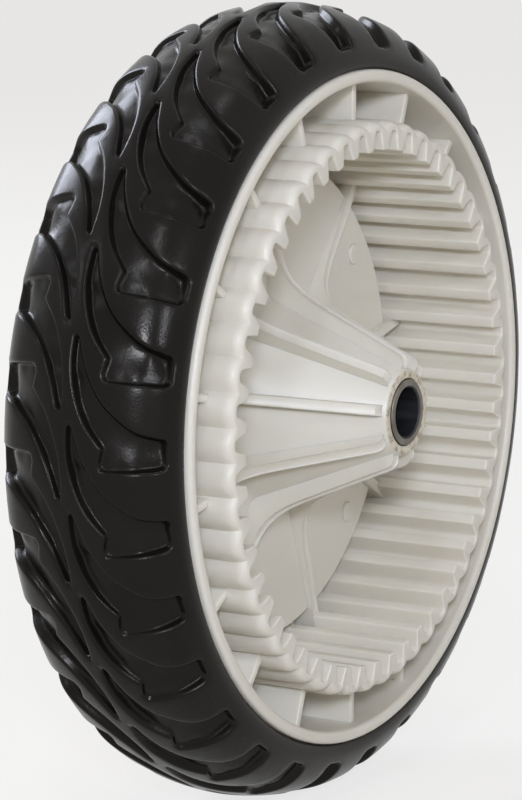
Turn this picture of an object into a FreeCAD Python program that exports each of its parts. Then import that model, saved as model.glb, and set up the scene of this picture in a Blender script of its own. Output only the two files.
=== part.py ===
import FreeCAD, Part
import math
import os

import Sketcher

# Drive wheel of a walk-behind lawn mower: a white moulding with an inner ring gear,
# a rubber tyre on its barrel and a steel bush pressed in its hub.
# The wheel turns about Y. The gear side faces -Y and Z points up.
# The origin is the wheel's centre, midway between the two rim lips.

doc = FreeCAD.newDocument("DriveWheel")

# Driving dimensions in millimetres, degrees and counts
SIZES = {
    "tyre_height": 16.1,
    "tyre_half_width": 24.0,
    "crown_half_width": 8.0,
    "shoulder_half_width": 21.6,
    "shoulder_height": 8.5,
    "tread_count": 30,
    "groove_slope": 21.0,
    "groove_headroom": 5.0,
    "groove_cut": 7.2,
    "groove_corner": 3.5,
    "groove_shoulder_width": 7.4,
    "groove_outer_edge": 23.8,
    "groove_inner_corner": 11.2,
    "groove_sweep": 23.0,
    "groove_end_up": 4.0,
    "outer_bend_across": 5.0,
    "outer_bend_up": 13.5,
    "inner_bend_across": 8.0,
    "inner_bend_up": 4.6,
    "lip_face": 25.2,
    "barrel_radius": 85.4,
    "barrel_wall": 3.2,
    "web_face": 3.4,
    "web_wall": 3.0,
    "ledge_radius": 62.5,
    "ledge_step": 5.4,
    "hub_front": 36.4,
    "hub_back": 13.6,
    "cone_tip_radius": 10.6,
    "cone_foot_radius": 26.7,
    "tube_wall": 3.0,
    "bush_radius": 8.33,
    "bush_bore_radius": 6.35,
    "bush_stand": 0.4,
    "tooth_count": 53,
    "tooth_tip_radius": 65.4,
    "tooth_height": 4.9,
    "tooth_gap_tip": 5.0,
    "tooth_gap_root": 2.4,
    "gear_phase": 0.4,
    "gear_face": 28.4,
    "gear_wall": 2.7,
    "lobe_height": 1.6,
    "rim_rib_count": 18,
    "rim_rib_wall": 2.0,
    "rim_rib_setback": 2.2,
    "fin_count": 9,
    "fin_wall": 2.8,
    "fin_tip_radius": 14.4,
    "fin_tip_setback": 1.2,
    "fin_nose_radius": 13.0,
    "fin_foot_radius": 29.4,
    "fin_foot_height": 5.0,
    "fin_sweep_radius": 37.5,
    "spoke_height": 1.8,
    "spoke_end_height": 0.5,
    "root_overlap": 0.8,
}

sheet = doc.addObject("Spreadsheet::Sheet", "Sizes")
for row, (alias, number) in enumerate(SIZES.items(), start=1):
    sheet.set("A%d" % row, alias)
    sheet.set("B%d" % row, str(number))
    sheet.setAlias("B%d" % row, alias)
doc.recompute()


class Dim:
    """A size from the sheet, or a sum of them, with its number and its expression."""

    def __init__(self, number, text):
        self.number = number
        self.text = text

    def join(self, other, mark, number):
        text = other.text if isinstance(other, Dim) else repr(other)
        return Dim(number, "(%s %s %s)" % (self.text, mark, text))

    def __add__(self, other):
        return self.join(other, "+", self.number + value(other))

    def __sub__(self, other):
        return self.join(other, "-", self.number - value(other))

    def __mul__(self, other):
        return self.join(other, "*", self.number * value(other))

    def __truediv__(self, other):
        return self.join(other, "/", self.number / value(other))

    def __neg__(self):
        return Dim(-self.number, "(-%s)" % self.text)


def value(item):
    return item.number if isinstance(item, Dim) else item


def size(alias):
    return Dim(float(sheet.get(alias)), "Sizes.%s" % alias)


MIDDLE = Dim(0.0, "0")


def new_body(label):
    body = doc.addObject("PartDesign::Body", label)
    body.Label = label
    return body


def origin_part(body, role):
    for feature in body.Origin.OriginFeatures:
        if feature.Role == role:
            return feature
    raise RuntimeError("the body has no " + role)


def new_sketch(body, name, plane, lift=None, turn=None, axis=(0, 0, 1)):
    """A sketch on an origin plane, lifted along its normal and turned about one of its axes."""
    sketch = body.newObject("Sketcher::SketchObject", name)
    sketch.AttachmentSupport = [(origin_part(body, plane), "")]
    sketch.MapMode = "FlatFace"
    if turn is not None:
        rotation = FreeCAD.Rotation(FreeCAD.Vector(*axis), value(turn))
        sketch.AttachmentOffset = FreeCAD.Placement(FreeCAD.Vector(), rotation)
        sketch.setExpression("AttachmentOffset.Rotation.Angle", "%s * 1 deg" % turn.text)
    if lift is not None:
        sketch.setExpression("AttachmentOffset.Base.z", lift.text)
    doc.recompute()
    return sketch


def hold(sketch, dim, kind, *places):
    """Adds a constraint of a kind at the places, bound to a size."""
    index = sketch.addConstraint(Sketcher.Constraint(kind, *places, value(dim)))
    sketch.setExpression("Constraints[%d]" % index, dim.text)


def pin_point(sketch, edge, end, across, up):
    """Holds an edge's end at two sizes from the sketch's origin."""
    hold(sketch, across, "DistanceX", -1, 1, edge, end)
    hold(sketch, up, "DistanceY", -1, 1, edge, end)


def closed_profile(sketch, corners):
    """A closed outline of straight edges through corners given as (across, up)."""
    points = [FreeCAD.Vector(value(across), value(up), 0) for across, up in corners]
    total = len(corners)
    for number in range(total):
        end = points[(number + 1) % total]
        sketch.addGeometry(Part.LineSegment(points[number], end), False)
    for number in range(total):
        sketch.addConstraint(Sketcher.Constraint("Coincident", number, 2, (number + 1) % total, 1))
    for number, (across, up) in enumerate(corners):
        pin_point(sketch, number, 1, across, up)
    doc.recompute()


def revolve(body, sketch, name):
    feature = body.newObject("PartDesign::Revolution", name)
    feature.Profile = sketch
    feature.ReferenceAxis = (sketch, ["V_Axis"])
    feature.Angle = 360
    feature.Refine = False
    doc.recompute()
    return feature


def pad_both_ways(body, sketch, name, length):
    feature = body.newObject("PartDesign::Pad", name)
    feature.Profile = sketch
    feature.SideType = "Symmetric"
    feature.setExpression("Length", length.text)
    feature.Refine = False
    doc.recompute()
    return feature


def pocket(body, sketch, name, length, backwards):
    """Cuts along the sketch's normal, and stops if nothing was cut."""
    before = body.Shape.Volume
    feature = body.newObject("PartDesign::Pocket", name)
    feature.Profile = sketch
    feature.setExpression("Length", length.text)
    feature.Reversed = backwards
    feature.Refine = False
    doc.recompute()
    if feature.Shape.Volume > before - 0.1:
        raise RuntimeError(name + " cuts nothing")
    return feature


def spin_copies(body, features, name, count):
    """Repeats features about the wheel's axis."""
    pattern = body.newObject("PartDesign::PolarPattern", name)
    pattern.Originals = features
    pattern.Axis = (origin_part(body, "Y_Axis"), [""])
    pattern.Angle = 360
    pattern.setExpression("Occurrences", count.text)
    pattern.Refine = False
    body.Tip = pattern
    doc.recompute()
    return pattern


barrel = size("barrel_radius")
crown = barrel + size("tyre_height")
shoulder = barrel + size("shoulder_height")


def both_sides(half):
    """A section's outer corners from its +Y end, followed by the same corners on the -Y side."""
    return half + [(across, -up) for across, up in reversed(half)]


# Tyre: crowned blank on the barrel
tyre = new_body("tyre")
section = new_sketch(tyre, "TyreSection", "XY_Plane")
closed_profile(
    section,
    both_sides(
        [
            (barrel, size("tyre_half_width")),
            (shoulder, size("shoulder_half_width")),
            (crown, size("crown_half_width")),
        ]
    ),
)
revolve(tyre, section, "TyreBlank")

# Tread: on each side one bent groove from shoulder to middle, its floor sloping with the shoulder
groove_corner = -size("groove_corner")
groove_left = groove_corner - size("groove_shoulder_width")
groove_outline = [
    (groove_corner, -size("groove_outer_edge")),
    (groove_corner + size("outer_bend_across"), -size("outer_bend_up")),
    (groove_corner + size("groove_sweep"), -size("groove_end_up")),
    (groove_corner + size("inner_bend_across"), -size("inner_bend_up")),
    (groove_left, -size("groove_inner_corner")),
    (groove_left, -size("groove_outer_edge")),
]
groove_start = crown + size("groove_headroom")
cuts = []
for side, name in ((1, "Near"), (-1, "Far")):
    tilt = size("groove_slope")
    tilt_axis = (side, 0, 0)
    groove = new_sketch(tyre, name + "GrooveSketch", "XY_Plane", groove_start, tilt, tilt_axis)
    outline = groove_outline
    if side < 0:
        outline = [(-across, -up) for across, up in groove_outline]
    closed_profile(groove, outline)
    cuts.append(pocket(tyre, groove, name + "Groove", size("groove_cut"), False))
spin_copies(tyre, cuts, "TreadGrooves", size("tread_count"))

# Wheel disc: hub cone, stepped web and barrel as one turned section
lip = size("lip_face")
overlap = size("root_overlap")
tube = size("bush_radius") + size("tube_wall")
barrel_inner = barrel - size("barrel_wall")
web_front = size("web_face")
ledge_floor = web_front + size("ledge_step")
web_back = ledge_floor + size("web_wall")
hub_front = -size("hub_front")

disc = new_body("wheel_disc")
section = new_sketch(disc, "DiscSection", "XY_Plane")
closed_profile(
    section,
    [
        (size("bush_radius"), hub_front),
        (size("cone_tip_radius"), hub_front),
        (size("cone_foot_radius"), web_front),
        (size("ledge_radius"), web_front),
        (size("ledge_radius"), ledge_floor),
        (barrel_inner, ledge_floor),
        (barrel_inner, -lip),
        (barrel, -lip),
        (barrel, lip),
        (barrel_inner, lip),
        (barrel_inner, web_back),
        (tube, web_back),
        (tube, size("hub_back")),
        (size("bush_radius"), size("hub_back")),
    ],
)
revolve(disc, section, "DiscBlank")

# Radii of the ring gear
tip = size("tooth_tip_radius")
tooth_root = tip + size("tooth_height")
gear_outer = tooth_root + size("gear_wall")
gear_valley = gear_outer - size("lobe_height")

# Thin ribs that tie the ring gear to the barrel
rib_sketch = new_sketch(disc, "RimRibSketch", "YZ_Plane")
rib_front = size("rim_rib_setback") - lip
rib_inner = gear_valley - overlap
closed_profile(
    rib_sketch,
    [
        (rib_front, rib_inner),
        (ledge_floor + overlap, rib_inner),
        (ledge_floor + overlap, barrel_inner + overlap),
        (rib_front, barrel_inner + overlap),
    ],
)
rib = pad_both_ways(disc, rib_sketch, "RimRib", size("rim_rib_wall"))
spin_copies(disc, [rib], "RimRibs", size("rim_rib_count"))

# Fins that run down the cone, sweep out and cross the web as low spokes
fin_sketch = new_sketch(disc, "FinSketch", "YZ_Plane")
fin_front = hub_front + size("fin_tip_setback")
fin_heel = web_front - size("fin_foot_height")
spoke_top = web_front - size("spoke_height")
spoke_low = web_front - size("spoke_end_height")
spoke_end = tooth_root + overlap
closed_profile(
    fin_sketch,
    [
        (fin_front, size("cone_tip_radius") - overlap),
        (fin_front, size("fin_nose_radius")),
        (fin_front + size("fin_tip_setback"), size("fin_tip_radius")),
        (fin_heel, size("fin_foot_radius")),
        (spoke_top, size("fin_sweep_radius")),
        (spoke_low, spoke_end),
        (ledge_floor + overlap, spoke_end),
        (ledge_floor + overlap, size("ledge_radius") - overlap),
        (web_front + overlap, size("ledge_radius") - overlap),
        (web_front + overlap, size("cone_foot_radius") - overlap * 2),
    ],
)
fin = pad_both_ways(disc, fin_sketch, "Fin", size("fin_wall"))
spin_copies(disc, [fin], "Fins", size("fin_count"))

# Ring gear: flat-topped inner teeth, and an outer wall that follows them in lobes
gear_front = -size("gear_face")
lobe_blank = gear_outer + overlap
gear_length = size("gear_face") + ledge_floor

ring = new_body("ring_gear")
section = new_sketch(ring, "RingSection", "XY_Plane")
closed_profile(
    section,
    [
        (tip - overlap, gear_front),
        (lobe_blank, gear_front),
        (lobe_blank, ledge_floor + overlap),
        (tip - overlap, ledge_floor + overlap),
    ],
)
revolve(ring, section, "RingBlank")

half_pitch = Dim(180.0, "180") / size("tooth_count")
tooth_turn = size("gear_phase") + half_pitch
lobe_half = gear_outer * math.pi / size("tooth_count")
flat_sketch = new_sketch(ring, "ToothTopSketch", "XZ_Plane", size("gear_face"), tooth_turn)
closed_profile(
    flat_sketch,
    [
        (-lobe_half, tip - overlap * 2),
        (lobe_half, tip - overlap * 2),
        (lobe_half, tip),
        (-lobe_half, tip),
    ],
)
flat = pocket(ring, flat_sketch, "ToothTop", gear_length + overlap, False)
spin_copies(ring, [flat], "ToothTops", size("tooth_count"))

gap_sketch = new_sketch(ring, "ToothGapSketch", "XZ_Plane", size("gear_face"), size("gear_phase"))
gap_tip = size("tooth_gap_tip") / 2
gap_root = size("tooth_gap_root") / 2
flank_lean = (gap_tip - gap_root) / size("tooth_height") * overlap
closed_profile(
    gap_sketch,
    [
        (-gap_tip - flank_lean, tip - overlap),
        (gap_tip + flank_lean, tip - overlap),
        (gap_root, tooth_root),
        (-gap_root, tooth_root),
    ],
)
gap = pocket(ring, gap_sketch, "ToothGap", gear_length, False)
spin_copies(ring, [gap], "ToothGaps", size("tooth_count"))

valley_sketch = new_sketch(ring, "LobeValleySketch", "XZ_Plane", size("gear_face"), tooth_turn)
past_ridge = (lobe_blank + overlap - gear_valley) / size("lobe_height")
closed_profile(
    valley_sketch,
    [
        (MIDDLE, gear_valley),
        (lobe_half * past_ridge, lobe_blank + overlap),
        (-lobe_half * past_ridge, lobe_blank + overlap),
    ],
)
valley = pocket(ring, valley_sketch, "LobeValley", gear_length, False)
spin_copies(ring, [valley], "LobeValleys", size("tooth_count"))

# The white moulding is one piece
moulding = doc.addObject("Part::MultiFuse", "geared_rim")
moulding.Label = "geared_rim"
moulding.Shapes = [disc, ring]
moulding.Refine = True
doc.recompute()

# Steel sleeve bush, pressed through the hub and standing a little proud at each end
bush = new_body("axle_bush")
section = new_sketch(bush, "BushSection", "XY_Plane")
bush_front = hub_front - size("bush_stand")
bush_back = size("hub_back") + size("bush_stand")
bush_bore = size("bush_bore_radius")
bush_outer = size("bush_radius")
closed_profile(
    section,
    [
        (bush_bore, bush_front),
        (bush_outer, bush_front),
        (bush_outer, bush_back),
        (bush_bore, bush_back),
    ],
)
revolve(bush, section, "BushBlank")

# Checks, then one file for each piece
pieces = [tyre, moulding, bush]
for item in doc.Objects:
    if "Invalid" in item.State or "Error" in item.State:
        raise RuntimeError(item.Label + " failed")
for piece in pieces:
    shape = piece.Shape
    if shape.isNull() or not shape.isValid() or len(shape.Solids) != 1:
        raise RuntimeError(piece.Label + " is not one valid solid")

os.makedirs("parts", exist_ok=True)
for piece in pieces:
    piece.Shape.exportStep("parts/%s.step" % piece.Label)
    print(piece.Label, round(piece.Shape.Volume / 1000.0, 1), "cubic centimetres")
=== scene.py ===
import math

import bmesh
import bpy
import numpy as np
from mathutils import Matrix, Vector
from mathutils.geometry import delaunay_2d_cdt


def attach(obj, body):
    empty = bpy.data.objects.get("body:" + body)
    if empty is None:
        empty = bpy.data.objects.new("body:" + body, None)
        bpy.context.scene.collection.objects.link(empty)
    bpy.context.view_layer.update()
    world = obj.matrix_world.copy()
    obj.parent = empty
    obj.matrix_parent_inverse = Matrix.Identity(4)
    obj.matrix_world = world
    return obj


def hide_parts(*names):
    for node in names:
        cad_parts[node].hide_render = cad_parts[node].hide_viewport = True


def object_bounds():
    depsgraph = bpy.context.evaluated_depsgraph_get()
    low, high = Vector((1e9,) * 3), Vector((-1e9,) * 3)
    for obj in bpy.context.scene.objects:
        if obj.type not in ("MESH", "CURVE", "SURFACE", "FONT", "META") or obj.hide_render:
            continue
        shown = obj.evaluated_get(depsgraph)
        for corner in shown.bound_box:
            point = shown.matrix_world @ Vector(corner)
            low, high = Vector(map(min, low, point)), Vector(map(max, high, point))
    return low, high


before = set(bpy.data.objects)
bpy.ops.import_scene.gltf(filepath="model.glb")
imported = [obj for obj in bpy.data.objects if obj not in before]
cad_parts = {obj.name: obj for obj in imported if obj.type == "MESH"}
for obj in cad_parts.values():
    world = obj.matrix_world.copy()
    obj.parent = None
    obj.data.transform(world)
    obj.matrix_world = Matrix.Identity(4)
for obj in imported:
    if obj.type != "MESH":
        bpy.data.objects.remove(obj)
cad_low, cad_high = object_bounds()

# The wheel's lengths are in millimetres, and MM turns them into the frame's metres
MM = 0.001


# Mesh helpers

PLATE_EDGE_STEPS = 3


def turned(radius, y, angle):
    """A point at a radius and an angle about the wheel's axis, from millimetres and radians."""
    return (radius * math.cos(angle) * MM, y * MM, radius * math.sin(angle) * MM)


def bridge(faces, first, second):
    """Quads between two closed rows of vertex numbers of the same length."""
    count = len(first)
    for i in range(count):
        j = (i + 1) % count
        faces.append((first[i], first[j], second[j], second[i]))


def bridge_all(faces, rows):
    """Quads between each closed row and the next."""
    for first, second in zip(rows, rows[1:]):
        bridge(faces, first, second)


def add_rows(verts, rows):
    """Adds rows of points and returns their vertex numbers."""
    numbers = []
    for row in rows:
        start = len(verts)
        verts.extend(row)
        numbers.append(list(range(start, start + len(row))))
    return numbers


def make_piece(name, verts, faces, materials, sharp=40.0, weld=2e-6):
    """A welded, smooth-shaded mesh piece that rides on the wheel."""
    mesh = bpy.data.meshes.new(name)
    mesh.from_pydata(verts, [], faces)
    work = bmesh.new()
    work.from_mesh(mesh)
    bmesh.ops.remove_doubles(work, verts=work.verts, dist=weld)
    bmesh.ops.recalc_face_normals(work, faces=work.faces)
    work.to_mesh(mesh)
    work.free()
    mesh.shade_smooth()
    mesh.set_sharp_from_angle(angle=math.radians(sharp))
    for material in materials:
        mesh.materials.append(material)
    piece = bpy.data.objects.new(name, mesh)
    bpy.context.scene.collection.objects.link(piece)
    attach(piece, "root")
    return piece


def round_corners(corners, steps=5):
    """A closed outline from (across, up, radius) corners, each rounded by a circle arc."""
    outline = []
    count = len(corners)
    for i, (across, up, radius) in enumerate(corners):
        here = Vector((across, up))
        if radius <= 0:
            outline.append(here)
            continue
        back = Vector(corners[i - 1][:2]) - here
        ahead = Vector(corners[(i + 1) % count][:2]) - here
        back.normalize()
        ahead.normalize()
        half = back.angle(ahead) / 2
        reach = radius / math.tan(half)
        centre = here + (back + ahead).normalized() * radius / math.sin(half)
        start = here + back * reach - centre
        end = here + ahead * reach - centre
        sweep = start.angle_signed(end)
        for step in range(steps + 1):
            turn = Matrix.Rotation(-sweep * step / steps, 2)
            outline.append(centre + turn @ start)
    return outline


def lathe(verts, faces, outline, segments):
    """Turns a closed (radius, y) outline about the wheel's axis."""
    rows = []
    for i in range(segments):
        angle = 2 * math.pi * i / segments
        rows.append([turned(p[0], p[1], angle) for p in outline])
    numbers = add_rows(verts, rows)
    for i in range(segments):
        bridge(faces, numbers[i], numbers[(i + 1) % segments])


def inset_outline(outline, distance):
    """Moves each point of a closed outline inwards, for outlines that run anticlockwise."""
    moved = []
    count = len(outline)
    for i, here in enumerate(outline):
        along = Vector(outline[(i + 1) % count]) - Vector(outline[i - 1])
        side = Vector((-along.y, along.x)).normalized()
        moved.append(Vector(here) + side * distance)
    return moved


def plate(verts, faces, outline, thickness, rounding, angle):
    """A flat rounded plate in a plane through the axis, from a (radius, y) outline."""
    sides = []
    for side in (-1, 1):
        rows = []
        for step in range(PLATE_EDGE_STEPS + 1):
            bend = math.radians(90.0 * step / PLATE_EDGE_STEPS)
            inset = rounding * (1 - math.cos(bend))
            shift = side * (thickness / 2 - rounding * (1 - math.sin(bend))) * MM
            row = []
            for p in inset_outline(outline, inset):
                x, y, z = turned(p[0], p[1], angle)
                row.append((x - math.sin(angle) * shift, y, z + math.cos(angle) * shift))
            rows.append(row)
        sides.append(add_rows(verts, rows))
    low, high = sides
    bridge(faces, low[0], high[0])
    for numbers in sides:
        bridge_all(faces, numbers)
        faces.append(tuple(numbers[-1]))


def plates_round(verts, faces, outline, thickness, rounding, count, first_degrees):
    """Equal plates at even angles about the wheel's axis."""
    for number in range(count):
        angle = math.radians(first_degrees + 360 / count * number)
        plate(verts, faces, outline, thickness, rounding, angle)


def smooth_line(points, step):
    """A Catmull-Rom line through points, sampled about every step."""
    found = []
    last = len(points) - 1
    for i in range(last):
        a = Vector(points[max(i - 1, 0)])
        b = Vector(points[i])
        c = Vector(points[i + 1])
        d = Vector(points[min(i + 2, last)])
        count = max(1, round((c - b).length / step))
        for k in range(count):
            t = k / count
            point = 2 * b + (c - a) * t
            point += (2 * a - 5 * b + 4 * c - d) * t**2
            point += (3 * b - a - 3 * c + d) * t**3
            found.append(0.5 * point)
    found.append(Vector(points[-1]))
    return found


# Materials: tints and roughness are ramps of (share of the noise, colour or grey) stops

RUBBER_TINTS = [(0.3, (0.0042, 0.0037, 0.0033)), (0.7, (0.0095, 0.0082, 0.0070))]
RUBBER_ROUGHNESS = [(0.3, 0.18), (0.75, 0.33)]
RUBBER_SPECULAR = 0.16
RUBBER_SPECULAR_TINT = (1.0, 0.93, 0.85, 1)
PLASTIC_TINTS = [(0.3, (0.755, 0.722, 0.632)), (0.7, (0.795, 0.762, 0.672))]
PLASTIC_ROUGHNESS = [(0.3, 0.33), (0.7, 0.46)]
PLASTIC_SCATTER = 0.25
PLASTIC_SCATTER_TINT = (1.0, 0.8, 0.55)
PLASTIC_SCATTER_REACH = 3.0 * MM
WORN_TINTS = [(0.34, (0.36, 0.31, 0.22)), (0.44, (0.62, 0.56, 0.43)), (0.62, (0.76, 0.71, 0.58))]
WORN_ROUGHNESS = [(0.3, 0.5), (0.7, 0.75)]
STEEL_TINTS = [(0.3, (0.13, 0.117, 0.1)), (0.7, (0.24, 0.217, 0.187))]
STEEL_ROUGHNESS = [(0.3, 0.4), (0.7, 0.55)]
# The bore's darker tints are painted shade, standing in for the shade inside the bore
BORE_SHADE_TINTS = [(0.3, (0.03, 0.03, 0.033)), (0.7, (0.08, 0.08, 0.086))]
BORE_ROUGHNESS = [(0.3, 0.5), (0.7, 0.65)]
# Marks on the bush run along its axis
STEEL_STRETCH = (1, 0.15, 1)


def new_material(name):
    """A material, its node tree and its main shader."""
    material = bpy.data.materials.new(name)
    material.use_nodes = True
    tree = material.node_tree
    return material, tree, tree.nodes["Principled BSDF"]


def noise(tree, scale, detail, stretch=(1, 1, 1)):
    """A noise texture in the object's own metres."""
    place = tree.nodes.new("ShaderNodeTexCoord")
    mapping = tree.nodes.new("ShaderNodeMapping")
    mapping.inputs["Scale"].default_value = stretch
    texture = tree.nodes.new("ShaderNodeTexNoise")
    texture.inputs["Scale"].default_value = scale
    texture.inputs["Detail"].default_value = detail
    tree.links.new(place.outputs["Object"], mapping.inputs["Vector"])
    tree.links.new(mapping.outputs["Vector"], texture.inputs["Vector"])
    return texture.outputs["Fac"]


def ramp(tree, factor, stops, socket):
    """Leads a factor into a socket, through a ramp of (place, colour or grey) stops."""
    node = tree.nodes.new("ShaderNodeValToRGB")
    elements = node.color_ramp.elements
    while len(elements) < len(stops):
        elements.new(0.5)
    for element, (place, colour) in zip(elements, stops):
        element.position = place
        if isinstance(colour, float):
            colour = (colour, colour, colour)
        element.color = (*colour, 1)
    tree.links.new(factor, node.inputs["Fac"])
    tree.links.new(node.outputs["Color"], socket)


def bump(tree, shader, height, strength, distance):
    """Leads a height into a shader's normal."""
    node = tree.nodes.new("ShaderNodeBump")
    node.inputs["Strength"].default_value = strength
    node.inputs["Distance"].default_value = distance
    tree.links.new(height, node.inputs["Height"])
    tree.links.new(node.outputs["Normal"], shader.inputs["Normal"])


def rubber_material():
    """Black rubber with cloudy smears and a fine grain."""
    material, tree, shader = new_material("tyre_rubber")
    clouds = noise(tree, scale=38.0, detail=6.0)
    smears = noise(tree, scale=90.0, detail=8.0)
    grain = noise(tree, scale=1500.0, detail=3.0)
    ramp(tree, clouds, RUBBER_TINTS, shader.inputs["Base Color"])
    ramp(tree, smears, RUBBER_ROUGHNESS, shader.inputs["Roughness"])
    bump(tree, shader, grain, strength=0.18, distance=0.2 * MM)
    shader.inputs["Specular IOR Level"].default_value = RUBBER_SPECULAR
    shader.inputs["Specular Tint"].default_value = RUBBER_SPECULAR_TINT
    return material


def plastic_material():
    """White moulded plastic that scatters a little light."""
    material, tree, shader = new_material("white_plastic")
    clouds = noise(tree, scale=22.0, detail=5.0)
    flow = noise(tree, scale=60.0, detail=6.0)
    grain = noise(tree, scale=420.0, detail=4.0)
    ramp(tree, clouds, PLASTIC_TINTS, shader.inputs["Base Color"])
    ramp(tree, flow, PLASTIC_ROUGHNESS, shader.inputs["Roughness"])
    bump(tree, shader, grain, strength=0.10, distance=0.2 * MM)
    shader.inputs["Subsurface Weight"].default_value = PLASTIC_SCATTER
    shader.inputs["Subsurface Radius"].default_value = PLASTIC_SCATTER_TINT
    shader.inputs["Subsurface Scale"].default_value = PLASTIC_SCATTER_REACH
    return material


def worn_material():
    """The hub's rubbed end: tan, matt and speckled."""
    material, tree, shader = new_material("worn_plastic")
    specks = noise(tree, scale=700.0, detail=6.0)
    ramp(tree, specks, WORN_TINTS, shader.inputs["Base Color"])
    ramp(tree, specks, WORN_ROUGHNESS, shader.inputs["Roughness"])
    bump(tree, shader, specks, strength=0.35, distance=0.3 * MM)
    return material


def steel_material(name, tints, roughness):
    """Drawn steel with marks along the axis."""
    material, tree, shader = new_material(name)
    marks = noise(tree, scale=260.0, detail=6.0, stretch=STEEL_STRETCH)
    grain = noise(tree, scale=900.0, detail=4.0)
    ramp(tree, marks, tints, shader.inputs["Base Color"])
    ramp(tree, marks, roughness, shader.inputs["Roughness"])
    bump(tree, shader, grain, strength=0.15, distance=0.1 * MM)
    shader.inputs["Metallic"].default_value = 1.0
    return material


rubber = rubber_material()
plastic = plastic_material()
worn = worn_material()
steel = steel_material("bush_steel", STEEL_TINTS, STEEL_ROUGHNESS)
shaded_bore = steel_material("bush_bore_painted_shade", BORE_SHADE_TINTS, BORE_ROUGHNESS)


# Tyre: the crown and the shoulders are two arcs of the section

TYRE_RADIUS = 101.5
CROWN_ARC = 40.0
CROWN_EDGE = 15.0
SHOULDER_ARC = 14.9
CROWN_TURN = math.asin(CROWN_EDGE / CROWN_ARC)
CROWN_LENGTH = CROWN_ARC * CROWN_TURN
CROWN_CENTRE = TYRE_RADIUS - CROWN_ARC
SHOULDER_R = CROWN_CENTRE + (CROWN_ARC - SHOULDER_ARC) * math.cos(CROWN_TURN)
SHOULDER_Y = (CROWN_ARC - SHOULDER_ARC) * math.sin(CROWN_TURN)
TREAD_EDGE = -23.4
TYRE_BORE = 85.45
# From the tread's edge over the bead to the middle of the bore, as (radius, y)
SIDE_OUTLINE = [
    (89.0, -23.72),
    (88.2, -23.86),
    (87.2, -23.95),
    (86.3, -23.9),
    (85.7, -23.6),
    (TYRE_BORE, -23.0),
    (TYRE_BORE, 0.0),
]

TREAD_COUNT = 30
PITCH = math.radians(360 / TREAD_COUNT)
TREAD_START = math.radians(8.2)
# Radius at which the tread is laid flat
TREAD_SCALE = 97.0
# Places on the tread are (degrees round, y)
GROOVE_OUTER = [(0.8, -22.85), (0.2, -22.5), (0, -21.7), (-0.7, -18), (-2.2, -14), (-4.9, -9), (-8.7, -5)]
GROOVE_TIP = [(-12.9, -2.3), (-13.5, -1.6), (-13.2, -0.95)]
GROOVE_INNER = [(-9.2, -1.1), (-5.2, -2.8), (-1.7, -5.6), (1.2, -9.5)]
GROOVE_STEP = (1.5, -9.9)
GROOVE_SHOULDER = [(3.5, -9.2), (4.3, -9.6), (4.65, -11), (4.65, -18)]
GROOVE_END = [(4.55, -21.7), (4.3, -22.5), (3.7, -22.85)]
# Depth of the groove's floor at places given as (degrees, y)
FLOOR_DEPTHS = [
    (-12.5, -1.8, 1.9),
    (-7.0, -2.6, 2.5),
    (-3.0, -5.5, 2.3),
    (1.0, -9.0, 1.7),
    (4.0, -10.5, 1.3),
    (4.4, -16.0, 1.6),
    (4.2, -22.0, 2.1),
    (0.4, -22.0, 3.0),
    (0.3, -17.0, 2.6),
    (-1.8, -13.5, 2.3),
    (-5.0, -8.0, 2.0),
    (-9.0, -4.2, 1.9),
]
# Known depths are blended by one over a power of the distance, softened near each place
FLOOR_BLEND_SOFTNESS = 0.5
FLOOR_BLEND_POWER = 3
# The groove's wall: distances inside its outline, and the share of the floor's depth reached there
WALL_REACH = (-0.9, -0.55, -0.34, -0.18, -0.05, 0.08, 0.26, 0.44, 0.62, 0.85, 1.2)
WALL_SINK = (0.0, 0.024, 0.062, 0.12, 0.2, 0.32, 0.64, 0.86, 0.95, 0.985, 1.0)
FLOOR_RING = 1.7
# Line where one repeat of the tread meets the next, from the edge to the middle
SEAM = [
    (-3.7, TREAD_EDGE),
    (-4.05, -18),
    (-4.8, -14),
    (-6.6, -9.8),
    (-8.9, -7.5),
    (-11.5, -5),
    (-14.6, -2.8),
    (-17.2, -1.2),
    (-18.7, 0),
]

# Spacing of the tread's mesh
GROOVE_SPACING = 0.9
STEP_SPACING = 0.5
SEAM_SPACING = 1.6
EDGE_COUNT = 8
GRID_SPACING = 2.1
GRID_COLUMNS = 24
# How far a ring may stray where its outline folds, and how near points come to other lines
RING_SLACK = 0.07
RING_TO_BORDER = 0.3
GRID_TO_BORDER = 1.0
GRID_OUT_OF_GROOVE = 1.6
GRID_IN_GROOVE = 2.2
# The triangulation keeps what lies inside the border and joins points this near
INSIDE_ONLY = 1
SAME_POINT = 1e-5
# Stands in for the rise of a level edge, which no point crosses
TINY = 1e-9


def section_length(y):
    """Length along the tyre's section from its middle to a place y across."""
    if abs(y) <= CROWN_EDGE:
        return CROWN_ARC * math.asin(y / CROWN_ARC)
    turn = math.asin((abs(y) - SHOULDER_Y) / SHOULDER_ARC)
    return math.copysign(CROWN_LENGTH + SHOULDER_ARC * (turn - CROWN_TURN), y)


def section_point(length, depth):
    """Radius and y at a length along the section, sunk below the surface by a depth."""
    if abs(length) <= CROWN_LENGTH:
        turn = abs(length) / CROWN_ARC
        radius = CROWN_CENTRE + (CROWN_ARC - depth) * math.cos(turn)
        across = (CROWN_ARC - depth) * math.sin(turn)
    else:
        turn = CROWN_TURN + (abs(length) - CROWN_LENGTH) / SHOULDER_ARC
        radius = SHOULDER_R + (SHOULDER_ARC - depth) * math.cos(turn)
        across = SHOULDER_Y + (SHOULDER_ARC - depth) * math.sin(turn)
    return radius, math.copysign(across, length)


def flat(degrees, y):
    """A place on the tread, as lengths round and across it."""
    return (math.radians(degrees) * TREAD_SCALE, section_length(y))


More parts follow.
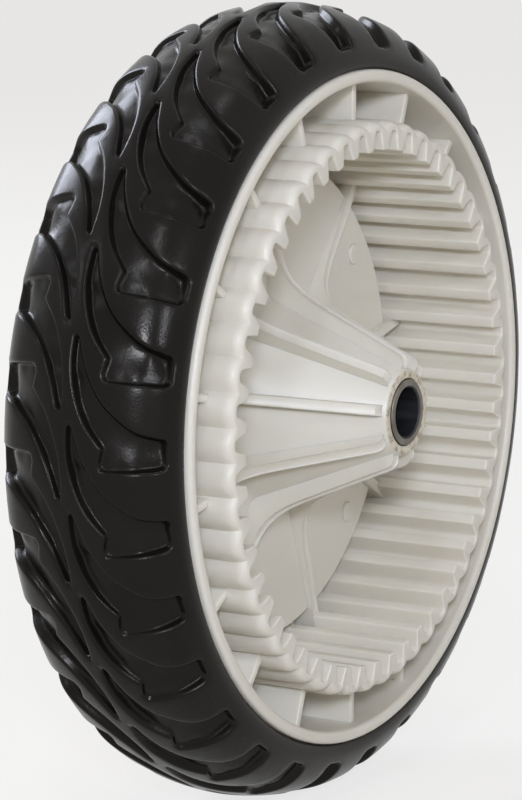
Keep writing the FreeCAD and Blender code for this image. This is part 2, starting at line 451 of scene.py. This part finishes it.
def groove_outline():
    """One groove as a closed line: outer wall, blunt tip, inner wall, step and shoulder wall."""
    walls = [flat(*place) for place in GROOVE_OUTER + GROOVE_TIP + GROOVE_INNER]
    shoulder = [flat(*place) for place in GROOVE_SHOULDER + GROOVE_END]
    sweep = smooth_line(walls, GROOVE_SPACING)
    step = smooth_line([sweep[-1], flat(*GROOVE_STEP)], STEP_SPACING)[1:]
    ledge = smooth_line([step[-1], shoulder[0]], GROOVE_SPACING)[1:]
    wall = smooth_line(shoulder, GROOVE_SPACING)[1:]
    end = smooth_line([wall[-1], sweep[0]], GROOVE_SPACING)[1:-1]
    return list(reversed(sweep + step + ledge + wall + end))


def depth_inside(points, outline):
    """Distance of points from a closed outline, positive inside it."""
    points = np.array(points, float)
    ring = np.array([tuple(p) for p in outline], float)
    after = np.roll(ring, -1, axis=0)
    edge = after - ring
    reach = points[:, None, :] - ring[None, :, :]
    share = np.clip((reach * edge).sum(2) / (edge * edge).sum(1), 0, 1)
    nearest = np.linalg.norm(reach - share[:, :, None] * edge, axis=2).min(1)
    above = (ring[None, :, 1] > points[:, None, 1]) != (after[None, :, 1] > points[:, None, 1])
    rise = np.where(edge[:, 1] == 0, TINY, edge[:, 1])
    crossing = ring[:, 0] + (points[:, None, 1] - ring[:, 1]) / rise * edge[:, 0]
    inside = (above & (points[:, None, 0] < crossing)).sum(1) % 2 == 1
    return np.where(inside, nearest, -nearest)


def floor_depth(points):
    """Depth of the groove's floor under points of the flat tread, blended between known places."""
    known = np.array([flat(degrees, y) for degrees, y, _ in FLOOR_DEPTHS])
    depths = np.array([depth for _, _, depth in FLOOR_DEPTHS])
    reach = np.linalg.norm(np.array(points, float)[:, None, :] - known[None, :, :], axis=2)
    weight = 1 / (reach + FLOOR_BLEND_SOFTNESS) ** FLOOR_BLEND_POWER
    return (weight * depths).sum(1) / weight.sum(1)


def cell_border(seam):
    """Closed border of one repeat: the tread's edge, the next seam, the middle line and this seam."""
    width = PITCH * TREAD_SCALE
    step = width / EDGE_COUNT
    across = Vector((width, 0))
    border = [seam[0] + Vector((step * i, 0)) for i in range(EDGE_COUNT)]
    border += [p + across for p in seam]
    border += [seam[-1] + across - Vector((step * i, 0)) for i in range(1, EDGE_COUNT + 1)]
    border += list(reversed(seam))[1:-1]
    return border


def wall_points(outline, border):
    """Points on lines that follow the groove's outline, over its wall and the edge of its floor."""
    found = []
    for offset in (*WALL_REACH, FLOOR_RING):
        ring = [tuple(p) for p in inset_outline(outline, offset)]
        kept = np.abs(depth_inside(ring, outline) - offset) < RING_SLACK
        found += [p for p, keep in zip(ring, kept) if keep]
    from_border = depth_inside(found, border)
    return [p for p, room in zip(found, from_border) if room > RING_TO_BORDER]


def grid_points(outline, border, start):
    """Points of a staggered grid, on the blocks and on the groove's floor."""
    low = section_length(TREAD_EDGE)
    grid = []
    for row in range(int(-low / GRID_SPACING) + 1):
        for column in range(GRID_COLUMNS):
            x = start + GRID_SPACING * (column + 0.5 * (row % 2))
            grid.append((x, low + GRID_SPACING * (row + 0.5)))
    room = depth_inside(grid, border) > GRID_TO_BORDER
    depth = depth_inside(grid, outline)
    kept = room & ((depth < -GRID_OUT_OF_GROOVE) | (depth > GRID_IN_GROOVE))
    return [p for p, keep in zip(grid, kept) if keep]


def tread_cell():
    """Points, triangles and depths of one repeat of the tread's near half, laid flat."""
    outline = groove_outline()
    seam = smooth_line([flat(*place) for place in SEAM], SEAM_SPACING)
    border = cell_border(seam)
    loop = [(i, (i + 1) % len(border)) for i in range(len(border))]
    inner = wall_points(outline, border) + grid_points(outline, border, seam[-1].x)
    points = border + [Vector(p) for p in inner]
    places, _, triangles, _, _, _ = delaunay_2d_cdt(points, loop, [], INSIDE_ONLY, SAME_POINT)
    found = [tuple(p) for p in places]
    depths = np.interp(depth_inside(found, outline), WALL_REACH, WALL_SINK) * floor_depth(found)
    return places, triangles, depths


def tyre_half(verts, faces):
    """The near half of the tyre: tread, side and half of the bore."""
    places, triangles, depths = tread_cell()
    for repeat in range(TREAD_COUNT):
        start = len(verts)
        for place, depth in zip(places, depths):
            radius, y = section_point(place.y, depth)
            verts.append(turned(radius, y, TREAD_START + repeat * PITCH + place.x / TREAD_SCALE))
        faces.extend(tuple(start + i for i in triangle) for triangle in triangles)
    edge = section_point(section_length(TREAD_EDGE), 0)
    segments = TREAD_COUNT * EDGE_COUNT
    first_angle = TREAD_START + math.radians(SEAM[0][0])
    angles = [first_angle + 2 * math.pi * i / segments for i in range(segments)]
    rows = [[turned(radius, y, angle) for angle in angles] for radius, y in [edge] + SIDE_OUTLINE]
    bridge_all(faces, add_rows(verts, rows))


def build_tyre():
    """The tyre: its far half is the near half turned about Z."""
    verts, faces = [], []
    tyre_half(verts, faces)
    count = len(verts)
    verts.extend([(-x, -y, z) for x, y, z in verts])
    faces.extend([tuple(i + count for i in face) for face in faces])
    piece = make_piece("tyre_treaded", verts, faces, [rubber], sharp=70.0, weld=2e-5)
    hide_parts("tyre")


# White moulding: turned disc, ring gear, ribs, fins and pads

# Radii of the disc
BARREL = 85.4
BARREL_INNER = 82.2
LEDGE = 62.5
CONE_FOOT = 26.7
TUBE = 11.33
CONE_TIP = 10.6
BUSH = 8.33
# Places along the axis: hub ends, web, floor outside the ledge, back face, and the lips on both sides
HUB_FRONT = -36.4
HUB_BACK = 13.6
WEB = 3.4
FLOOR = 8.8
BACK = 11.8
LIP = 25.2
# Narrow slot round the bush in the hub's end
SLOT_WIDTH = 0.3
SLOT_DEPTH = 1.2
SLOT_TAPER = 0.4
# Rubbed skin of the hub's end, and its place in the list of materials
WORN_DEPTH = 0.2
WORN_INDEX = 1
DISC_SEGMENTS = 216

TOOTH_COUNT = 53
TOOTH_TIP = 65.4
TOOTH_ROOT = 70.3
TIP_HALF_GAP = 2.5
ROOT_HALF_GAP = 1.2
TIP_ROUND = 0.45
ROOT_ROUND = 1.0
# A radius below the tips, where the outline that rounds a tooth is closed
BELOW_TIP = 60.0
TOOTH_CORNER_STEPS = 4
TOOTH_SPACING = 0.9
GEAR_FACE = -28.4
GEAR_MIDDLE = 0.0
GEAR_FOOT = 9.4
GEAR_PHASE = math.radians(90.4)
# Radius at which the teeth are laid flat
GEAR_SCALE = 67.8
LOBE_FOOT = 71.3
LOBE_HEIGHT = 1.6
INNER_EDGE_DEPTH = 0.5
INNER_EDGE_WIDTH = 0.35
OUTER_EDGE_DEPTH = 3.4
OUTER_EDGE_WIDTH = 1.8
GEAR_EDGE_STEPS = 5

# Outlines of ribs and fins are (radius, y)
RIB_OUTLINE = [(71.2, 9.3), (71.2, -20.8), (71.7, -21.2), (82.0, -21.2), (82.6, -20.8), (82.6, 9.3)]
RIB_COUNT = 18
RIB_WALL = 2.0
RIB_ROUND = 0.45
FIN_NOSE = [(9.4, -35.2), (12.8, -35.2), (13.9, -34.8), (14.6, -33.6)]
# The sweep is a cubic curve, given by its start, two handles and its end
FIN_SWEEP = [(24.2, -12.6), (28.9, -2.4), (32.5, 0.9), (44.0, 1.85)]
FIN_FOOT = [(71.0, 2.9), (71.0, 9.4), (61.8, 9.4), (61.8, 4.2), (25.0, 4.2)]
FIN_SWEEP_STEPS = 10
FIN_COUNT = 9
FIN_WALL = 2.8
FIN_ROUND = 0.5
# Angle of the first rib and the first fin
FIRST_DEGREES = 10

# Places of the pads are (radius, degrees)
PAD_PLACES = ((55.0, 318.1), (54.8, 36.65))
PAD_RADIUS = 2.7
PAD_HEIGHT = 0.8
PAD_BEVEL = 0.2
PAD_SUNK = 0.2
PAD_SIDES = 40


def disc_outline():
    """Section of hub, cone, web, barrel and lips, from (radius, y, rounding) corners."""
    return round_corners(
        [
            (BUSH, HUB_FRONT + SLOT_DEPTH + SLOT_TAPER, 0.0),
            (BUSH + SLOT_WIDTH, HUB_FRONT + SLOT_DEPTH, 0.0),
            (BUSH + SLOT_WIDTH, HUB_FRONT, 0.15),
            (CONE_TIP, HUB_FRONT, 0.5),
            (CONE_FOOT, WEB, 4.0),
            (LEDGE, WEB, 0.5),
            (LEDGE, FLOOR, 0.8),
            (BARREL_INNER, FLOOR, 2.0),
            (BARREL_INNER, -LIP, 1.3),
            (BARREL, -LIP, 1.3),
            (BARREL, LIP, 1.0),
            (BARREL_INNER, LIP, 1.0),
            (BARREL_INNER, BACK, 2.0),
            (TUBE, BACK, 1.0),
            (TUBE, HUB_BACK, 0.5),
            (BUSH, HUB_BACK, 0.0),
        ]
    )


def tooth_line():
    """One pitch of the inner teeth from tooth middle to tooth middle, as (length round, radius)."""
    half_pitch = math.pi / TOOTH_COUNT * GEAR_SCALE
    tip = TIP_HALF_GAP / TOOTH_TIP * GEAR_SCALE
    root = ROOT_HALF_GAP / TOOTH_ROOT * GEAR_SCALE
    corners = [
        (-half_pitch, BELOW_TIP, 0.0),
        (-half_pitch, TOOTH_TIP, 0.0),
        (-tip, TOOTH_TIP, TIP_ROUND),
        (-root, TOOTH_ROOT, ROOT_ROUND),
        (root, TOOTH_ROOT, ROOT_ROUND),
        (tip, TOOTH_TIP, TIP_ROUND),
        (half_pitch, TOOTH_TIP, 0.0),
        (half_pitch, BELOW_TIP, 0.0),
    ]
    line = round_corners(corners, TOOTH_CORNER_STEPS)[1:-2]
    dense = []
    for a, b in zip(line, line[1:]):
        count = max(1, math.ceil((b - a).length / TOOTH_SPACING))
        dense += [a.lerp(b, k / count) for k in range(count)]
    return dense


def gear_lines():
    """The ring's toothed inner line as (angle, radius) points, and its lobed outer radius at each."""
    inner, outer = [], []
    pitch = 2 * math.pi / TOOTH_COUNT
    line = tooth_line()
    for tooth in range(TOOTH_COUNT):
        for p in line:
            share = p.x / GEAR_SCALE / pitch * 2
            inner.append(Vector((GEAR_PHASE + tooth * pitch + p.x / GEAR_SCALE, p.y)))
            outer.append(LOBE_FOOT + LOBE_HEIGHT * (1 - share * share))
    return inner, outer


def outward_sides(inner):
    """Directions square to the toothed line, out of the gap and into the ring."""
    sides = []
    count = len(inner)
    for i in range(count):
        along = inner[(i + 1) % count] - inner[i - 1]
        turn = (along.x + math.pi) % (2 * math.pi) - math.pi
        sides.append(Vector((-along.y, turn * GEAR_SCALE)).normalized())
    return sides


def gear_steps(depth):
    """Rows of a ring wall from its foot to its rounded front edge, as (y, share of the edge's width)."""
    steps = [(GEAR_FOOT, 0.0), (GEAR_MIDDLE, 0.0)]
    for step in range(GEAR_EDGE_STEPS + 1):
        bend = math.radians(90.0 * step / GEAR_EDGE_STEPS)
        steps.append((GEAR_FACE + depth * (1 - math.sin(bend)), 1 - math.cos(bend)))
    return steps


def build_ring(verts, faces):
    """The ring gear: toothed inside and lobed outside."""
    inner, outer = gear_lines()
    sides = outward_sides(inner)
    inner_rows, outer_rows = [], []
    for y, share in gear_steps(INNER_EDGE_DEPTH):
        row = []
        for p, side in zip(inner, sides):
            angle = p.x + side.x * INNER_EDGE_WIDTH * share / GEAR_SCALE
            row.append(turned(p.y + side.y * INNER_EDGE_WIDTH * share, y, angle))
        inner_rows.append(row)
    for y, share in gear_steps(OUTER_EDGE_DEPTH):
        inset = OUTER_EDGE_WIDTH * share
        outer_rows.append([turned(radius - inset, y, p.x) for p, radius in zip(inner, outer)])
    inside = add_rows(verts, inner_rows)
    outside = add_rows(verts, outer_rows)
    bridge_all(faces, inside)
    bridge_all(faces, outside)
    bridge(faces, inside[-1], outside[-1])
    bridge(faces, inside[0], outside[0])


def fin_outline():
    """A fin's edge: nose, straight ridge, concave sweep and low spoke."""
    start, first, second, end = [Vector(place) for place in FIN_SWEEP]
    edge = [Vector(place) for place in FIN_NOSE]
    for step in range(FIN_SWEEP_STEPS + 1):
        t = step / FIN_SWEEP_STEPS
        point = start * (1 - t) ** 3 + first * 3 * t * (1 - t) ** 2
        point += second * 3 * t * t * (1 - t)
        point += end * t**3
        edge.append(point)
    edge += [Vector(place) for place in FIN_FOOT]
    return list(reversed(edge))


def build_pads(verts, faces):
    """Two ejector pin pads on the web."""
    top = WEB - PAD_HEIGHT
    outline = [(0.0, WEB + PAD_SUNK), (PAD_RADIUS, WEB + PAD_SUNK), (PAD_RADIUS, top + PAD_BEVEL)]
    outline += [(PAD_RADIUS - PAD_BEVEL, top), (0.0, top)]
    turns = [2 * math.pi * k / PAD_SIDES for k in range(PAD_SIDES)]
    for radius, degrees in PAD_PLACES:
        angle = math.radians(degrees)
        middle = Vector((radius * math.cos(angle), radius * math.sin(angle)))
        rows = []
        for width, y in outline:
            row = []
            for turn in turns:
                x = middle.x + width * math.cos(turn)
                z = middle.y + width * math.sin(turn)
                row.append((x * MM, y * MM, z * MM))
            rows.append(row)
        bridge_all(faces, add_rows(verts, rows))


def build_rim():
    """The white moulding, with its rubbed hub end."""
    verts, faces = [], []
    lathe(verts, faces, disc_outline(), DISC_SEGMENTS)
    build_ring(verts, faces)
    plates_round(verts, faces, RIB_OUTLINE, RIB_WALL, RIB_ROUND, RIB_COUNT, FIRST_DEGREES)
    plates_round(verts, faces, fin_outline(), FIN_WALL, FIN_ROUND, FIN_COUNT, FIRST_DEGREES)
    build_pads(verts, faces)
    piece = make_piece("geared_rim_moulding", verts, faces, [plastic, worn], sharp=35.0)
    for face in piece.data.polygons:
        if face.center.y < (HUB_FRONT + WORN_DEPTH) * MM:
            face.material_index = WORN_INDEX
    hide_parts("geared_rim")


# Bush: a steel sleeve whose bore is coloured in darker steel, as painted shade inside the bore

BORE = 6.35
BUSH_FRONT = -36.8
BUSH_BACK = 14.0
MOUTH = 0.4
BORE_SHADE_INDEX = 1
BUSH_SEGMENTS = 96
BUSH_CORNER_STEPS = 3


def build_bush():
    """The sleeve, with a chamfered mouth on the gear side; its bore and mouth are coloured darker as
    painted shade.
    """
    verts, faces = [], []
    outline = round_corners(
        [
            (BORE, BUSH_FRONT + MOUTH, 0.0),
            (BORE + MOUTH, BUSH_FRONT, 0.1),
            (BUSH, BUSH_FRONT, 0.3),
            (BUSH, BUSH_BACK, 0.3),
            (BORE, BUSH_BACK, 0.25),
        ],
        BUSH_CORNER_STEPS,
    )
    lathe(verts, faces, outline, BUSH_SEGMENTS)
    piece = make_piece("axle_bush_sleeve", verts, faces, [steel, shaded_bore])
    # The faces of the bore and its mouth take the darker steel: painted shade
    for face in piece.data.polygons:
        centre = face.center
        if math.hypot(centre.x, centre.z) < (BORE + MOUTH) * MM:
            face.material_index = BORE_SHADE_INDEX
    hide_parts("axle_bush")


build_tyre()
build_rim()
build_bush()


# Floor, light and camera, in metres

FLOOR_REACH = 6.0
FLOOR_TINTS = [(0.3, (0.76, 0.73, 0.66)), (0.7, (0.80, 0.77, 0.70))]
FLOOR_ROUGHNESS = 0.9
FLOOR_GLOW = 0.75
# Strength at which a glow renders as white
WHITE_STRENGTH = 1.0
FILL_COLOUR = (1.0, 0.82, 0.55, 1)
FILL_STRENGTH = 0.18
LAMP_COLOUR = (0.8, 0.855, 1.0)
# Lamps as name, place, width and watts
LAMPS = [
    ("key", (-1.23, -0.74, 0.48), 0.2, 10.2),
    ("left", (-1.0, 0.9, 0.9), 0.3, 1.0),
    ("top", (0.05, -0.25, 1.5), 0.2, 1.4),
    ("strip", (-0.95, -0.42, 1.05), 0.16, 2.4),
    ("front", (-0.62, -1.45, 0.55), 0.3, 4.8),
    ("back", (0.35, 1.35, 0.75), 0.8, 15.0),
]
CAMERA_PLACE = (-0.75056, -0.43512, 0.14740)
# Sensor and lens in millimetres, and the shift as a share of the picture
CAMERA_SENSOR = 36.0
CAMERA_LENS = 154.41
CAMERA_SHIFT = -0.0254


def background_rays(tree):
    """One for the rays that see the background: camera, glossy and transmission rays."""
    path = tree.nodes.new("ShaderNodeLightPath")
    seen = path.outputs["Is Camera Ray"]
    for ray in ("Is Glossy Ray", "Is Transmission Ray"):
        either = tree.nodes.new("ShaderNodeMath")
        either.operation = "MAXIMUM"
        tree.links.new(seen, either.inputs[0])
        tree.links.new(path.outputs[ray], either.inputs[1])
        seen = either.outputs["Value"]
    return seen


def mix_shaders(tree, share, first, second, output):
    """Leads a mix of two shaders into the tree's output."""
    mix = tree.nodes.new("ShaderNodeMixShader")
    tree.links.new(share, mix.inputs["Fac"])
    tree.links.new(first, mix.inputs[1])
    tree.links.new(second, mix.inputs[2])
    tree.links.new(mix.outputs["Shader"], tree.nodes[output].inputs["Surface"])


def floor_material():
    """Pale matt floor, lifted towards white where the background is seen."""
    material, tree, shader = new_material("pale_floor")
    ramp(tree, noise(tree, scale=8.0, detail=3.0), FLOOR_TINTS, shader.inputs["Base Color"])
    shader.inputs["Roughness"].default_value = FLOOR_ROUGHNESS
    glow = tree.nodes.new("ShaderNodeEmission")
    glow.inputs["Strength"].default_value = WHITE_STRENGTH
    share = tree.nodes.new("ShaderNodeMath")
    share.operation = "MULTIPLY"
    share.inputs[1].default_value = FLOOR_GLOW
    tree.links.new(background_rays(tree), share.inputs[0])
    lit, glowing = shader.outputs["BSDF"], glow.outputs["Emission"]
    mix_shaders(tree, share.outputs["Value"], lit, glowing, "Material Output")
    return material


def build_floor():
    """A level floor under the wheel."""
    mesh = bpy.data.meshes.new("floor")
    reach, low = FLOOR_REACH, cad_low.z
    corners = [(-reach, -reach, low), (reach, -reach, low), (reach, reach, low), (-reach, reach, low)]
    mesh.from_pydata(corners, [], [(0, 1, 2, 3)])
    mesh.materials.append(floor_material())
    floor = bpy.data.objects.new("floor", mesh)
    bpy.context.scene.collection.objects.link(floor)


def build_world():
    """A weak warm fill on the object, and white for the rays that see the background."""
    world = bpy.data.worlds.new("studio")
    bpy.context.scene.world = world
    world.use_nodes = True
    tree = world.node_tree
    soft = tree.nodes["Background"]
    soft.inputs["Color"].default_value = FILL_COLOUR
    soft.inputs["Strength"].default_value = FILL_STRENGTH
    white = tree.nodes.new("ShaderNodeBackground")
    white.inputs["Strength"].default_value = WHITE_STRENGTH
    fill, seen = soft.outputs["Background"], white.outputs["Background"]
    mix_shaders(tree, background_rays(tree), fill, seen, "World Output")


def aim(item, place):
    """Puts an object at a place, looking at the wheel's centre, and adds it to the scene."""
    item.location = place
    item.rotation_euler = (-Vector(place)).to_track_quat("-Z", "Y").to_euler()
    bpy.context.scene.collection.objects.link(item)


def build_lamps():
    """Round cool lamps about the wheel."""
    for name, place, width, watts in LAMPS:
        lamp = bpy.data.lights.new(name, "AREA")
        lamp.shape = "DISK"
        lamp.size = width
        lamp.energy = watts
        lamp.color = LAMP_COLOUR
        aim(bpy.data.objects.new(name, lamp), place)


def build_camera():
    """The camera at the photograph's viewing angle."""
    camera = bpy.data.cameras.new("camera")
    camera.sensor_width = CAMERA_SENSOR
    camera.lens = CAMERA_LENS
    camera.shift_x = CAMERA_SHIFT
    item = bpy.data.objects.new("camera", camera)
    aim(item, CAMERA_PLACE)
    bpy.context.scene.camera = item


build_floor()
build_world()
build_lamps()
build_camera()
bpy.context.scene.view_settings.view_transform = "Standard"
